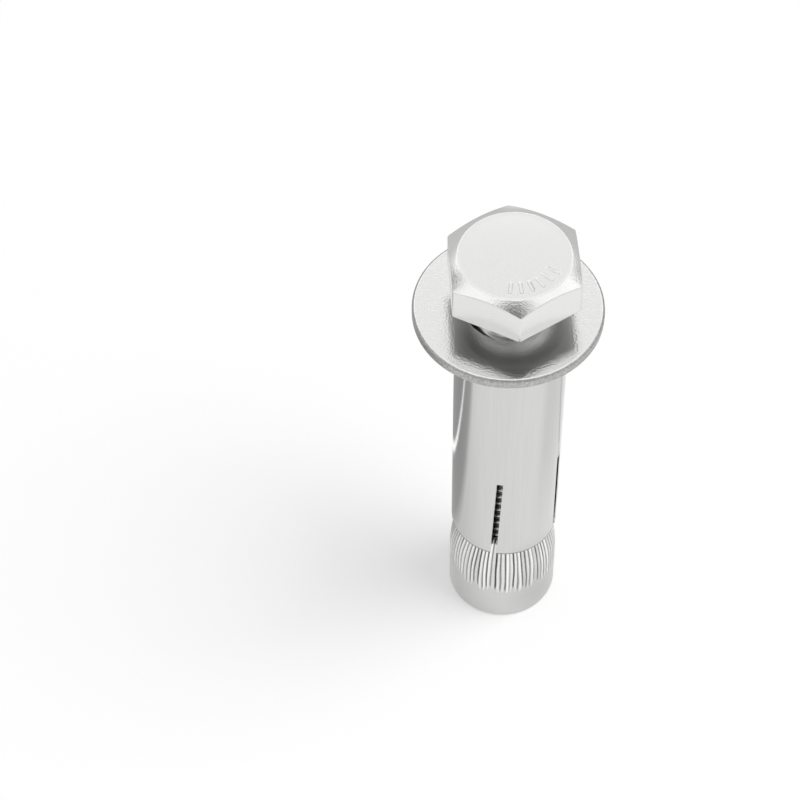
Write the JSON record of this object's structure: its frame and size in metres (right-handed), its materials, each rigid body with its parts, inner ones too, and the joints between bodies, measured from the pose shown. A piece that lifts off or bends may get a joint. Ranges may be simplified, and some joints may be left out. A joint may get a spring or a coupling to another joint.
{
  "type": "expansion bolt",
  "caption": "Sleeve expansion bolt: a hex head bolt with a flat washer, a slotted steel sleeve and a ridged cone nut that spreads the sleeve in a drilled hole.",
  "frame": {"origin": "on the bolt's axis, at the foot of the cone nut, which is what the part stands on", "axes": "+Z along the bolt's axis from the nut's foot to the head; one corner of the hexagon points towards -Y, turned 2.5 degrees"},
  "size_m": [0.0197, 0.0198, 0.0577],
  "materials": {
    "bolt_steel": "cold-forged stainless steel, satin, with a slightly frosted crown",
    "washer_steel": "punched and tumbled stainless steel, fine grain",
    "sleeve_steel": "drawn and polished stainless steel tube",
    "nut_steel": "turned stainless steel with rolled ridges"
  },
  "bodies": {
    "nut": {"cone_nut": "nut_steel"},
    "sleeve": {"expansion_sleeve": "sleeve_steel"},
    "washer": {"flat_washer": "washer_steel"},
    "bolt": {"hex_bolt": "bolt_steel"}
  },
  "joints": [
    {"name": "sleeve_spin", "type": "hinge", "parent": "nut", "child": "sleeve", "pos_m": [0, 0, 0.0126], "axis": [0, 0, 1], "continuous": true},
    {"name": "screw_turn", "type": "hinge", "parent": "nut", "child": "washer", "pos_m": [0, 0, 0.0487], "axis": [0, 0, 1], "range_deg": [-828, 2520]},
    {"name": "bolt_feed", "type": "slide", "parent": "washer", "child": "bolt", "axis": [0, 0, 1], "range_m": [-0.0029, 0.0088]}
  ],
  "couplings": [
    {"joint": "bolt_feed", "follows": "screw_turn", "m_per_rad": 0.00019894}
  ]
}
